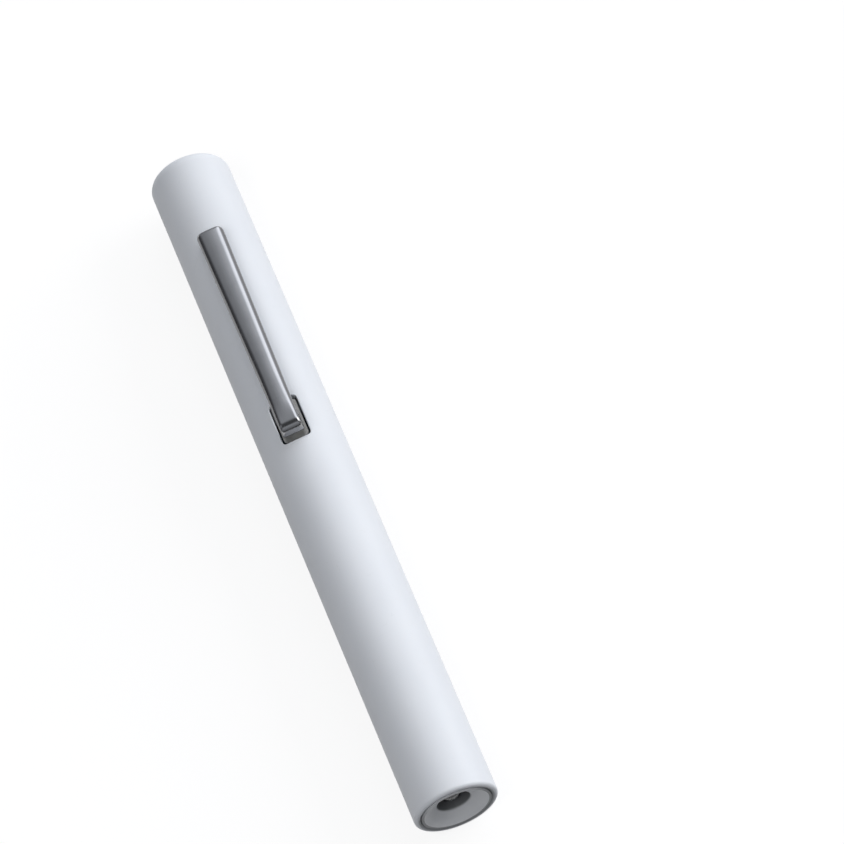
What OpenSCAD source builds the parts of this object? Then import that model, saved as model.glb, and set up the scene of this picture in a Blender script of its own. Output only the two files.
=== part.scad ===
// Pocket penlight: a sealed white barrel with two cells, a lens bulb in a dished mouth,
// and a sprung channel clip that is pressed to close the circuit.
// Lengths in millimetres. X runs from tail to mouth, Z is up, the barrel lies on Z = 0.

/* [Cells] */
// Length of a cell over its button
cell_length = 44.5; // [43.3:0.1:44.5]
// Diameter of a cell over its jacket
cell_diameter = 10.5; // [9.9:0.1:10.5]
// Thickness of the jacket
jacket_thickness = 0.12; // [0.1:0.01:0.2]
// Width of the jacket lip turned over each end of the can
jacket_lip = 0.6; // [0.3:0.1:1]
// Height of the button above the can
button_height = 1; // [0.8:0.1:1.3]
// Diameter of the button
button_diameter = 3.8; // [3:0.1:3.8]
// Radius of the rounded edge of the button
button_round = 0.3; // [0.1:0.05:0.5]
// Thickness of the seal washer around the button
seal_thickness = 0.3; // [0.2:0.05:0.5]
// Diameter of the raised plate under the can
plate_diameter = 6.4; // [6:0.1:7]
// Height of that plate below the can
plate_height = 0.3; // [0.2:0.05:0.5]

/* [Barrel] */
// Clearance around the cells in the bore
cell_clearance = 0.2; // [0.1:0.05:0.4]
// Wall of the barrel
barrel_wall = 1.05; // [0.9:0.05:2]
// Radius of the rounded shoulder at the tail
tail_round = 2.1; // [1:0.1:2.2]
// Radius of the rounded outer edge at the mouth
mouth_round = 1.2; // [0.6:0.05:1.3]
// Thickness of the end wall at the tail
tail_wall = 1.5; // [1.2:0.1:2.5]
// Width of the lip around the tail hole, inside the bore
tail_lip = 0.45; // [0.35:0.05:0.6]
// Angle about the axis at which the round wall starts, so that it lies on a flat when faceted
wall_turn = 2.49; // [0:0.01:7]
// Width of the groove that runs along the top of the bore
groove_width = 3.2; // [3:0.1:4]
// Depth of that groove
groove_depth = 0.25; // [0.2:0.05:0.4]
// How far cutting shapes run past the faces they cut
cut_over = 0.5; // [0.2:0.1:1]

/* [Switch window] */
// How far the window reaches ahead of the rolled tip of the clip
window_ahead = 0.2; // [0.2:0.1:2]
// Length of the window along the barrel
window_length = 7.3; // [6.5:0.1:12]
// Width of the window across the barrel
window_width = 4.6; // [4.6:0.1:6]
// Corner radius of the window
window_corner = 0.6; // [0.2:0.1:1]

/* [Clip] */
// Distance from the tail rim to the outer face of the clip root
clip_start = 16.3; // [12:0.1:24]
// Length of the clip from root to the front of the rolled tip
clip_length = 39; // [36:0.1:39.5]
// Width across the clip at its root
clip_width = 4.4; // [4:0.1:4.6]
// Width across the clip at its rolled tip
clip_tip_width = 3.4; // [3:0.1:4]
// Height of the clip top above the barrel with the clip pressed down
clip_height = 2.3; // [2.2:0.05:2.8]
// Thickness of the spring steel
clip_thickness = 0.4; // [0.3:0.05:0.5]
// Depth of the turned down sides, from the top face
clip_side_depth = 1.3; // [1:0.05:1.4]
// Outer radius of the folded long edges
clip_edge_round = 0.9; // [0.45:0.05:0.95]
// Outer radius of the fold at the root
clip_root_round = 0.6; // [0.45:0.05:0.8]
// Angle at which the unpressed clip stands up from the barrel, in degrees
clip_rise = 1.15; // [0.8:0.05:2]
// Clearance between the saddle of the root and the barrel
saddle_clearance = 0.1; // [0.08:0.01:0.2]
// Width of the tongue that goes through the barrel wall
tongue_width = 2.2; // [1.6:0.1:2.6]
// Clearance around the tongue in its slot
tongue_clearance = 0.15; // [0.12:0.01:0.25]
// Clearance between the tongue end and the strip under it
tongue_gap = 0.05; // [0.03:0.01:0.1]

/* [Contact strips] */
// Thickness of the brass strips
strip_thickness = 0.25; // [0.15:0.05:0.3]
// Width of the brass strips
strip_width = 2.8; // [2:0.1:2.9]
// Gap all round the contact pad inside the window
pad_gap = 0.3; // [0.2:0.05:0.6]
// Length of the strip behind the window
strip_lead = 2; // [1:0.1:4]
// Length of the strip ahead of the clip tongue
link_lead = 1.2; // [0.8:0.1:3]
// Drop of the bent strip end that meets the bulb flange or the cup flange
strip_drop = 1.6; // [1:0.1:1.7]

/* [Tail contact] */
// Open gap between the contact cup and the edge of the tail hole
cup_gap = 0.6; // [0.4:0.05:1]
// Wall of the contact cup
cup_wall = 0.4; // [0.2:0.05:0.5]
// Thickness of the cup flange and floor
cup_floor = 0.4; // [0.3:0.05:0.6]
// Clearance around the cup flange inside the barrel
cup_clearance = 0.1; // [0.05:0.05:0.2]
// How far the cup ring stands out of the tail
cup_proud = 0.45; // [0.2:0.05:0.8]
// Clearance of the disc in the cup
disc_clearance = 0.04; // [0.02:0.01:0.1]
// How far the disc stands out of the cup ring
disc_proud = 0.25; // [0.1:0.05:0.5]
// Thickness of the disc
disc_thickness = 1; // [0.8:0.1:1.5]
// Radius of the rounded edge of the disc
disc_round = 0.15; // [0.05:0.05:0.3]

/* [Tail spring] */
// Length of the compressed spring
spring_length = 7; // [6:0.1:9]
// Mean radius of the coils
spring_radius = 2.6; // [2:0.1:2.9]
// Radius of the spring wire
wire_radius = 0.3; // [0.2:0.05:0.4]
// Number of turns
spring_turns = 5; // [3:1:6]

/* [Nose and mouth] */
// Clearance between nose and bore
nose_clearance = 0.03; // [0.01:0.01:0.06]
// Width of the flat rim of the nose around the dish
nose_rim = 0.45; // [0.2:0.05:0.6]
// Diameter of the hole at the bottom of the dish
lens_hole = 6; // [5.6:0.1:6.6]
// Depth of the dish
dish_depth = 1.45; // [1:0.05:2]
// Length of the narrow hole behind the dish
lens_hole_length = 3.2; // [2:0.1:4]
// Wall of the nose around the bulb chamber
nose_wall = 1.12; // [0.9:0.02:1.3]

/* [Bulb] */
// Length of the bulb from solder tip to lens
bulb_length = 20.3; // [20:0.1:26]
// Clearance around the bulb shell, as wide as the bulb chamber
shell_clearance = 0.25; // [0.15:0.05:0.4]
// Wall of the bulb shell
shell_wall = 0.3; // [0.2:0.05:0.4]
// Length of the shell from its rim to the flange
shell_length = 7.1; // [5:0.1:8]
// Clearance around the shell flange in the bore
flange_clearance = 0.25; // [0.15:0.05:0.4]
// Thickness of the shell flange
flange_thickness = 0.5; // [0.3:0.05:0.8]
// Height of the insulator and solder tip behind the shell
base_height = 1.5; // [1:0.1:2]
// Diameter of the solder tip
tip_diameter = 2.6; // [2:0.1:3]
// Diameter of the insulator where it meets the tip
insulator_small = 4; // [3.2:0.1:5]
// Clearance of the glass in the shell
glass_clearance = 0.05; // [0.03:0.01:0.1]
// Wall of the glass
glass_wall = 0.4; // [0.3:0.05:0.6]
// Length of glass held inside the shell
glass_hold = 2.6; // [2:0.1:4]
// Diameter of the lens end
lens_diameter = 4.9; // [4.4:0.1:5.4]
// Length of the straight lens neck behind its dome
lens_neck = 1.3; // [0.8:0.1:2]
// Length of the glass taper behind the neck
glass_taper = 5; // [4:0.1:6]
// Distance from the bottom of the dish back to the lens
lens_setback = 0.25; // [0.1:0.05:1]
// Radius of the lead wires
lead_radius = 0.2; // [0.15:0.05:0.3]
// Distance between the lead wires
lead_spacing = 2.4; // [2:0.1:3]
// Radius of the glass bead that holds the leads
bead_radius = 0.7; // [0.6:0.05:0.9]
// Radius of the filament
filament_radius = 0.12; // [0.1:0.01:0.18]

/* [Resolution] */
// Segments used for round shapes
curve_steps = 96; // [48:8:128]
// Rings in one turn of the spring wire
turn_steps = 16; // [8:2:24]
// Sides of the spring wire
wire_sides = 8; // [6:1:10]

/* [Hidden] */
$fn = curve_steps;
// Radii of the bore and the barrel
bore_radius = cell_diameter / 2 + cell_clearance;
barrel_radius = bore_radius + barrel_wall;
// Radii of the tail hole, the cup that stands in it and the cup flange
tail_hole = bore_radius - tail_lip;
cup_radius = tail_hole - cup_gap;
cup_flange = bore_radius - cup_clearance;
// Height of the groove roof above the axis, where the strips lie
groove_top = bore_radius + groove_depth;
strip_bottom = groove_top - strip_thickness;
// Heights of the clip above the axis
clip_top = barrel_radius + clip_height;
clip_under = clip_top - clip_thickness;
side_bottom = clip_top - clip_side_depth;
// Rolled tip of the clip, which meets the strip in the groove when pressed
roll_radius = (clip_top - groove_top) / 2;
roll_station = clip_start + clip_length - roll_radius;
roll_height = clip_top - roll_radius;
// The sides of the clip lean in by this angle between the root and the roll
run_start = clip_start + clip_thickness;
clip_taper = atan((clip_width - clip_tip_width) / 2 / (roll_station - run_start));
// Near end of the window under the rolled tip
window_start = clip_start + clip_length + window_ahead - window_length;
// Tongue of the clip, and the line it turns about inside the barrel wall
tongue_bottom = groove_top + tongue_gap;
hinge_height = (groove_top + barrel_radius) / 2;
hinge_station = clip_start + clip_thickness / 2;
// Stations along the axis, counted from the tail rim
tail_proud = cup_proud + disc_proud;
cup_flange_end = tail_wall + cup_floor;
cup_floor_start = disc_thickness - tail_proud;
cup_floor_end = cup_floor_start + cup_floor;
rear_cell_start = cup_floor_end + spring_length;
front_cell_start = rear_cell_start + cell_length;
bulb_start = front_cell_start + cell_length;
shell_start = bulb_start + base_height;
flange_start = shell_start + shell_length;
nose_start = flange_start + flange_thickness;
lens_end = bulb_start + bulb_length;
dish_bottom = lens_end + lens_setback;
hole_start = dish_bottom - lens_hole_length;
barrel_length = dish_bottom + dish_depth;
// Length over everything, and where the tail rim stands
overall_length = barrel_length + tail_proud;
tail_x = tail_proud - overall_length / 2;
// Radii of the nose
nose_radius = bore_radius - nose_clearance;
dish_radius = nose_radius - nose_rim;
chamber_radius = nose_radius - nose_wall;
// Radii of the bulb
shell_radius = chamber_radius - shell_clearance;
flange_radius = bore_radius - flange_clearance;
glass_radius = shell_radius - shell_wall - glass_clearance;
lens_radius = lens_diameter / 2;
glass_start = flange_start - glass_hold;
dome_station = lens_end - lens_radius;
neck_start = dome_station - lens_neck;
taper_start = neck_start - glass_taper;
filament_station = taper_start + glass_taper / 2;
bead_station = (glass_start + filament_station) / 2;
// Radii of the cell parts
jacket_radius = cell_diameter / 2;
can_radius = jacket_radius - jacket_thickness;
can_end = cell_length - button_height;
// Spring wire from centre to centre of its end turns
spring_rise = spring_length - 2 * wire_radius;
spring_pitch = spring_rise / spring_turns;
spring_gap = spring_pitch - 2 * wire_radius;
echo(spring_self_gap = spring_gap);

// Lays a shape drawn with its axis on Z and its top towards Y along the barrel
module along_barrel() {
    translate([tail_x, 0, barrel_radius])
        rotate([90, 0, 90])
            children();
}

// Turns a half outline, radius across and station up, about the barrel axis
module turned(start_angle = 0) {
    along_barrel()
        rotate([0, 0, start_angle])
            rotate_extrude()
                children();
}

// Half outline of a straight ring or disc
module ring_outline(inner, outer, start, end) {
    translate([inner, start])
        square([outer - inner, end - start]);
}

// Flat plate with rounded corners, centred across and starting at zero along
module rounded_plate(width, length, corner) {
    translate([-width / 2, corner])
        square([width, length - 2 * corner]);
    translate([corner - width / 2, 0])
        square([width - 2 * corner, length]);
    for (side = [-1, 1], station = [corner, length - corner])
        translate([side * (width / 2 - corner), station])
            circle(r = corner);
}

// Raises a flat outline, across by along, into a block between two heights above the axis
module upright(low, high) {
    translate([0, high, 0])
        rotate([90, 0, 0])
            linear_extrude(height = high - low)
                children();
}

// Pushes a side outline, along by height, across the barrel with a given width
module across(width) {
    translate([width / 2, 0, 0])
        rotate([0, -90, 0])
            linear_extrude(height = width)
                children();
}

// Barrel

module barrel_outline() {
    difference() {
        union() {
            ring_outline(0, barrel_radius - tail_round, 0, barrel_length);
            ring_outline(0, barrel_radius - mouth_round, tail_round, barrel_length);
            ring_outline(0, barrel_radius, tail_round, barrel_length - mouth_round);
            translate([barrel_radius - tail_round, tail_round])
                circle(r = tail_round);
            translate([barrel_radius - mouth_round, barrel_length - mouth_round])
                circle(r = mouth_round);
        }
        ring_outline(0, bore_radius, tail_wall, barrel_length + cut_over);
        ring_outline(0, tail_hole, -cut_over, tail_wall + cut_over);
    }
}

module barrel() {
    color("white")
        difference() {
            turned(wall_turn)
                barrel_outline();
            along_barrel() {
                // Window over the contact pad
                upright(0, barrel_radius + cut_over)
                    translate([0, window_start])
                        rounded_plate(window_width, window_length, window_corner);
                // Groove for the strips along the top of the bore
                upright(0, groove_top)
                    translate([-groove_width / 2, tail_wall])
                        square([groove_width, nose_start - tail_wall]);
                // Slot for the clip tongue
                upright(0, barrel_radius + cut_over)
                    translate([-tongue_width / 2 - tongue_clearance, clip_start - tongue_clearance])
                        square([tongue_width + 2 * tongue_clearance,
                                clip_thickness + 2 * tongue_clearance]);
            }
        }
}

// Nose with the dished mouth

module nose_outline() {
    difference() {
        ring_outline(0, nose_radius, nose_start, barrel_length);
        polygon([[0, dish_bottom], [lens_hole / 2, dish_bottom],
                 [dish_radius, barrel_length],
                 [dish_radius, barrel_length + cut_over], [0, barrel_length + cut_over]]);
        ring_outline(0, lens_hole / 2, nose_start, barrel_length);
        ring_outline(0, chamber_radius, nose_start - cut_over, hole_start);
    }
}

module nose() {
    color("gainsboro")
        turned()
            nose_outline();
}

// Clip: a folded channel with a saddle root, a tongue and a rolled tip

module channel_outline(grow) {
    half = clip_width / 2 - grow;
    round_off = clip_edge_round - grow;
    top = clip_top - grow;
    translate([-half, side_bottom - grow])
        square([2 * half, top - round_off - side_bottom + grow]);
    translate([round_off - half, side_bottom - grow])
        square([2 * (half - round_off), top - side_bottom + grow]);
    for (side = [-1, 1])
        translate([side * (half - round_off), top - round_off])
            circle(r = round_off);
}

module clip_run() {
    length = roll_station - run_start;
    for (side = [0, 1])
        mirror([side, 0, 0])
            intersection() {
                translate([clip_width / 2, 0, run_start])
                    rotate([0, -clip_taper, 0])
                        translate([-clip_width / 2, 0, -cut_over])
                            linear_extrude(height = length + 2 * cut_over)
                                difference() {
                                    channel_outline(0);
                                    channel_outline(clip_thickness);
                                }
                // Each leaning half is kept on its own side of the middle
                translate([0, 0, run_start])
                    cube([clip_width, clip_top + cut_over, length]);
            }
}

module clip_root() {
    difference() {
        translate([0, 0, clip_start])
            linear_extrude(height = clip_thickness) {
                channel_outline(0);
                translate([-clip_width / 2, 0])
                    square([clip_width, clip_top - clip_edge_round]);
            }
        translate([0, 0, clip_start - cut_over])
            cylinder(r = barrel_radius + saddle_clearance, h = clip_thickness + 2 * cut_over);
    }
}

module clip_tongue() {
    translate([-tongue_width / 2, tongue_bottom, clip_start])
        cube([tongue_width, clip_under - tongue_bottom, clip_thickness]);
}

module clip_roll() {
    across(clip_tip_width)
        difference() {
            translate([roll_station, roll_height])
                circle(r = roll_radius);
            translate([roll_station, roll_height])
                circle(r = roll_radius - clip_thickness);
            translate([roll_station - roll_radius - cut_over, roll_height])
                square([roll_radius + cut_over, roll_radius + cut_over]);
        }
}

// Turns the clip from its pressed position up to where it stands unpressed
module raised() {
    translate([0, hinge_height, hinge_station])
        rotate([-clip_rise, 0, 0])
            translate([0, -hinge_height, -hinge_station])
                children();
}

// Side view of everything the clip may fill, with the fold at the root rounded off
module clip_side_view() {
    length = clip_length + cut_over;
    translate([clip_start, 0])
        square([length, clip_top - clip_root_round]);
    translate([clip_start + clip_root_round, 0])
        square([length, clip_top]);
    translate([clip_start + clip_root_round, clip_top - clip_root_round])
        circle(r = clip_root_round);
}

module pocket_clip() {
    color("silver")
        along_barrel()
            raised()
                intersection() {
                    union() {
                        clip_run();
                        clip_root();
                        clip_tongue();
                        clip_roll();
                    }
                    across(clip_width)
                        clip_side_view();
                }
}

// Brass strips along the groove

module clip_link() {
    link_end = clip_start + clip_thickness + link_lead;
    color("goldenrod")
        along_barrel() {
            upright(strip_bottom, groove_top)
                translate([-strip_width / 2, cup_flange_end])
                    square([strip_width, link_end - cup_flange_end]);
            upright(groove_top - strip_drop, groove_top)
                translate([-strip_width / 2, cup_flange_end])
                    square([strip_width, strip_thickness]);
        }
}

module contact_strip() {
    strip_start = window_start - strip_lead;
    color("gold")
        along_barrel() {
            upright(strip_bottom, groove_top)
                translate([-strip_width / 2, strip_start])
                    square([strip_width, flange_start - strip_start]);
            upright(strip_bottom, groove_top)
                translate([0, window_start + pad_gap])
                    rounded_plate(window_width - 2 * pad_gap, window_length - 2 * pad_gap,
                                  window_corner);
            upright(groove_top - strip_drop, groove_top)
                translate([-strip_width / 2, flange_start - strip_thickness])
                    square([strip_width, strip_thickness]);
        }
}

// Tail contact: flanged cup, disc and spring

module tail_cup() {
    color("lightgray")
        turned() {
            ring_outline(cup_radius - cup_wall, cup_radius, -cup_proud, cup_flange_end);
            ring_outline(cup_radius - cup_wall, cup_flange, tail_wall, cup_flange_end);
            ring_outline(0, cup_radius - cup_wall, cup_floor_start, cup_floor_end);
        }
}

module tail_disc() {
    disc_radius = cup_radius - cup_wall - disc_clearance;
    color("peru")
        turned() {
            ring_outline(0, disc_radius, disc_round - tail_proud, cup_floor_start);
            ring_outline(0, disc_radius - disc_round, -tail_proud, cup_floor_start);
            translate([disc_radius - disc_round, disc_round - tail_proud])
                circle(r = disc_round);
        }
}

function wire_point(ring, side) =
    let (turn = 360 * ring / turn_steps,
         around = 360 * side / wire_sides,
         reach = spring_radius + wire_radius * cos(around))
    [reach * cos(turn), reach * sin(turn),
     spring_pitch * ring / turn_steps + wire_radius * sin(around)];

module tail_spring() {
    last_ring = spring_turns * turn_steps;
    points = [for (ring = [0 : last_ring], side = [0 : wire_sides - 1]) wire_point(ring, side)];
    walls = [for (ring = [0 : last_ring - 1], side = [0 : wire_sides - 1])
        let (next = (side + 1) % wire_sides, here = ring * wire_sides, ahead = here + wire_sides)
        [here + side, ahead + side, ahead + next, here + next]];
    first_cap = [for (side = [0 : wire_sides - 1]) side];
    last_cap = [for (side = [wire_sides - 1 : -1 : 0]) last_ring * wire_sides + side];
    color("slategray")
        along_barrel()
            translate([0, 0, cup_floor_end + wire_radius])
                polyhedron(points = points, faces = concat(walls, [first_cap, last_cap]));
}

// Cells, drawn once and set at two stations

module cell_can(start) {
    color("dimgray")
        turned()
            ring_outline(0, can_radius, start + plate_height + jacket_thickness,
                         start + can_end - jacket_thickness);
}

module cell_jacket(start) {
    low = start + plate_height;
    high = start + can_end;
    color("steelblue")
        turned() {
            ring_outline(can_radius, jacket_radius, low, high);
            ring_outline(can_radius - jacket_lip, jacket_radius, low, low + jacket_thickness);
            ring_outline(can_radius - jacket_lip, jacket_radius, high - jacket_thickness, high);
        }
}

module cell_seal(start) {
    low = start + can_end - jacket_thickness;
    color("whitesmoke")
        turned()
            ring_outline(button_diameter / 2, can_radius - jacket_lip, low, low + seal_thickness);
}

module cell_button(start) {
    radius = button_diameter / 2;
    end = start + cell_length;
    color("lightsteelblue")
        turned() {
            ring_outline(0, radius, start + can_end - jacket_thickness, end - button_round);
            ring_outline(0, radius - button_round, start + can_end, end);
            translate([radius - button_round, end - button_round])
                circle(r = button_round);
        }
}

module cell_plate(start) {
    color("gray")
        turned()
            ring_outline(0, plate_diameter / 2, start, start + plate_height + jacket_thickness);
}

module rear_cell_can() { cell_can(rear_cell_start); }
module rear_cell_jacket() { cell_jacket(rear_cell_start); }
module rear_cell_seal() { cell_seal(rear_cell_start); }
module rear_cell_button() { cell_button(rear_cell_start); }
module rear_cell_plate() { cell_plate(rear_cell_start); }
module front_cell_can() { cell_can(front_cell_start); }
module front_cell_jacket() { cell_jacket(front_cell_start); }
module front_cell_seal() { cell_seal(front_cell_start); }
module front_cell_button() { cell_button(front_cell_start); }
module front_cell_plate() { cell_plate(front_cell_start); }

// Bulb

module glass_outline(wall) {
    body = glass_radius - wall;
    neck = lens_radius - wall;
    ring_outline(0, body, glass_start + wall, taper_start);
    polygon([[0, taper_start], [body, taper_start], [neck, neck_start], [0, neck_start]]);
}

// Space that the two lead wires take, from the shell to the filament
module lead_space() {
    for (side = [-1, 1])
        lead_wire(side, shell_start);
}

module bulb_glass() {
    color("lightcyan")
        difference() {
            turned()
                difference() {
                    union() {
                        glass_outline(0);
                        ring_outline(0, lens_radius, neck_start, dome_station);
                        intersection() {
                            translate([0, dome_station])
                                circle(r = lens_radius);
                            ring_outline(0, lens_radius, dome_station, lens_end);
                        }
                    }
                    glass_outline(glass_wall);
                }
            lead_space();
        }
}

module bulb_shell() {
    color("silver")
        turned() {
            ring_outline(shell_radius - shell_wall, shell_radius, shell_start, nose_start);
            ring_outline(glass_radius, flange_radius, flange_start, nose_start);
            ring_outline(insulator_small / 2, shell_radius, shell_start, shell_start + shell_wall);
        }
}

module bulb_insulator() {
    tip_radius = tip_diameter / 2;
    low = bulb_start + tip_radius / 2;
    color("black")
        turned()
            polygon([[tip_radius, low], [insulator_small / 2, low],
                     [shell_radius - shell_wall, shell_start], [tip_radius, shell_start]]);
}

module bulb_tip() {
    tip_radius = tip_diameter / 2;
    color("lightslategray")
        turned()
            intersection() {
                ring_outline(0, tip_radius, bulb_start, shell_start);
                union() {
                    translate([0, bulb_start + tip_radius])
                        circle(r = tip_radius);
                    ring_outline(0, tip_radius, bulb_start + tip_radius, shell_start);
                }
            }
}

module lead_wire(side, start) {
    along_barrel()
        translate([side * lead_spacing / 2, 0, start])
            cylinder(r = lead_radius, h = filament_station + filament_radius - start);
}

module bulb_lead_live() {
    color("darkgoldenrod")
        lead_wire(1, shell_start);
}

module bulb_lead_return() {
    color("goldenrod")
        lead_wire(-1, shell_start);
}

module bulb_bead() {
    color("honeydew")
        difference() {
            along_barrel()
                translate([-lead_spacing / 2 - bead_radius, 0, bead_station])
                    rotate([0, 90, 0])
                        cylinder(r = bead_radius, h = lead_spacing + 2 * bead_radius);
            lead_space();
        }
}

module bulb_filament() {
    color("orange")
        along_barrel()
            translate([lead_radius - lead_spacing / 2, 0, filament_station])
                rotate([0, 90, 0])
                    cylinder(r = filament_radius, h = lead_spacing - 2 * lead_radius);
}

barrel();
nose();
pocket_clip();
clip_link();
contact_strip();
tail_cup();
tail_disc();
tail_spring();
rear_cell_can();
rear_cell_jacket();
rear_cell_seal();
rear_cell_button();
rear_cell_plate();
front_cell_can();
front_cell_jacket();
front_cell_seal();
front_cell_button();
front_cell_plate();
bulb_glass();
bulb_shell();
bulb_insulator();
bulb_tip();
bulb_lead_live();
bulb_lead_return();
bulb_bead();
bulb_filament();
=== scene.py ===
import math

import bmesh
import bpy
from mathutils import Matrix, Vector


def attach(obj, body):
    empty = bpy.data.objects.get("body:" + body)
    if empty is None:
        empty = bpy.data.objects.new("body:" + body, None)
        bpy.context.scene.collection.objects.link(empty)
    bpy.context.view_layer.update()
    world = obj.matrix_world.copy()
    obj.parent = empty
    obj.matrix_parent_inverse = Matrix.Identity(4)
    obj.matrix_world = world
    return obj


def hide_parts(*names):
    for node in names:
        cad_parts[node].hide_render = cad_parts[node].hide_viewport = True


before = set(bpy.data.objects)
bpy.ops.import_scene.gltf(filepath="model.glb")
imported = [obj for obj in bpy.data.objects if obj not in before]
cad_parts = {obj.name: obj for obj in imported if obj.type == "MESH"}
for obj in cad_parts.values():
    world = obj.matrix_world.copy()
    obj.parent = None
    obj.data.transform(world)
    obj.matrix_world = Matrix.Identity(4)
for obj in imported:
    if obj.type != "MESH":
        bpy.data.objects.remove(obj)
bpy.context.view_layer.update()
print("frame loaded:", len(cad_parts), "nodes")

mm = 0.001
tailX = -59.0  # X of the tail rim, in millimetres like every size below
axisHeight = 6.5
quarterTurn = math.pi / 2
fullTurn = 2 * math.pi


# station counts from the tail rim, across is +Y, up counts from the barrel axis
def place(station, across, up):
    return Vector((tailX + station, across, axisHeight + up)) * mm


# node helpers
def feed(tree, socket, value):
    if isinstance(value, bpy.types.NodeSocket):
        tree.links.new(value, socket)
    else:
        socket.default_value = value


def addNode(tree, kind, values=None, **settings):
    node = tree.nodes.new(kind)
    for key, value in settings.items():
        setattr(node, key, value)
    for key, value in (values or {}).items():
        feed(tree, node.inputs[key], value)
    return node


def newGroup(name, inputs, outputs):
    tree = bpy.data.node_groups.new(name, "ShaderNodeTree")
    for label, kind, value in inputs:
        socket = tree.interface.new_socket(name=label, in_out="INPUT", socket_type=kind)
        socket.default_value = value
    for label, kind in outputs:
        tree.interface.new_socket(name=label, in_out="OUTPUT", socket_type=kind)
    return tree, addNode(tree, "NodeGroupInput"), addNode(tree, "NodeGroupOutput")


def scaled(tree, vector, scale):
    return addNode(tree, "ShaderNodeVectorMath", {0: vector, "Scale": scale}, operation="SCALE").outputs[0]


# a point of the part in millimetres
def millimetres(tree):
    return scaled(tree, addNode(tree, "ShaderNodeTexCoord").outputs["Object"], 1 / mm)


def splitPoint(tree, vector):
    return addNode(tree, "ShaderNodeSeparateXYZ", {0: vector}).outputs


def noise(tree, vector, detail, **more):
    values = {"Vector": vector, "Scale": 1.0, "Detail": detail, **more}
    return addNode(tree, "ShaderNodeTexNoise", values).outputs["Fac"]


def maths(tree, operation, a, b=0.0):
    return addNode(tree, "ShaderNodeMath", {0: a, 1: b}, operation=operation).outputs[0]


def remap(tree, value, low, high, start=0.0, end=1.0):
    values = {"Value": value, "From Min": low, "From Max": high, "To Min": start, "To Max": end}
    return addNode(tree, "ShaderNodeMapRange", values, interpolation_type="SMOOTHSTEP").outputs["Result"]


def mixColour(tree, mask, first, second):
    mix = addNode(tree, "ShaderNodeMix", data_type="RGBA")
    for index, value in ((0, mask), (6, first), (7, second)):  # factor and the two colour sockets
        feed(tree, mix.inputs[index], value)
    return mix.outputs[2]


def opaque(rgb):
    return (*rgb, 1.0)


number = "NodeSocketFloat"
colour = "NodeSocketColor"

# where each noise starts to show and where it shows in full
shown = {"clouds": (.34, .68), "lines": (.25, .75), "wearBreaks": (.35, .65), "smears": (.4, .72),
         "scratchBreaks": (.56, .66), "scratchBreakScale": .9}


# clouds of a second tone over the base colour
def makeToneGroup():
    tree, put, out = newGroup("toneVariation", [("Base", colour, (.8, .8, .8, 1)),
                                                ("Shade", colour, (.7, .7, .7, 1)),
                                                ("Scale", number, .2), ("Amount", number, .5)],
                              [("Color", colour)])
    cloud = noise(tree, scaled(tree, millimetres(tree), put.outputs["Scale"]), 5.0, Roughness=.6)
    mask = maths(tree, "MULTIPLY", remap(tree, cloud, *shown["clouds"]), put.outputs["Amount"])
    tree.links.new(mixColour(tree, mask, put.outputs["Base"], put.outputs["Shade"]), out.inputs["Color"])
    return tree


# moulded or plated skin: fine grain and a slow ripple
def makeGrainGroup():
    tree, put, out = newGroup("skinGrain", [("Grain Scale", number, 12.0), ("Ripple Scale", number, .15),
                                            ("Grain", number, .5), ("Ripple", number, .5)],
                              [("Height", number)])
    grain = noise(tree, scaled(tree, millimetres(tree), put.outputs["Grain Scale"]), 3.0, Roughness=.55)
    ripple = noise(tree, scaled(tree, millimetres(tree), put.outputs["Ripple Scale"]), 1.0)
    fine = maths(tree, "MULTIPLY", grain, put.outputs["Grain"])
    slow = maths(tree, "MULTIPLY", ripple, put.outputs["Ripple"])
    tree.links.new(maths(tree, "ADD", fine, slow), out.inputs["Height"])
    return tree


# lines left by drawing or rolling, along the barrel
def makeLineGroup():
    tree, put, out = newGroup("drawnLines", [("Fineness", number, 12.0), ("Stretch", number, .03)],
                              [("Lines", number)])
    spot = splitPoint(tree, scaled(tree, millimetres(tree), put.outputs["Fineness"]))
    along = maths(tree, "MULTIPLY", spot["X"], put.outputs["Stretch"])
    flat = addNode(tree, "ShaderNodeCombineXYZ", {"X": along, "Y": spot["Y"], "Z": spot["Z"]})
    lines = noise(tree, flat.outputs[0], 4.0, Roughness=.7)
    tree.links.new(remap(tree, lines, *shown["lines"]), out.inputs["Lines"])
    return tree


# worn or darkened ridges, broken up by noise
def makeWearGroup():
    tree, put, out = newGroup("edgeWear", [("Start", number, .52), ("End", number, .62),
                                           ("Scale", number, 3.0)], [("Mask", number)])
    shape = addNode(tree, "ShaderNodeNewGeometry")
    ridge = remap(tree, shape.outputs["Pointiness"], put.outputs["Start"], put.outputs["End"])
    breaks = noise(tree, scaled(tree, millimetres(tree), put.outputs["Scale"]), 4.0)
    mask = maths(tree, "MULTIPLY", ridge, remap(tree, breaks, *shown["wearBreaks"]))
    tree.links.new(mask, out.inputs["Mask"])
    return tree


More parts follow.
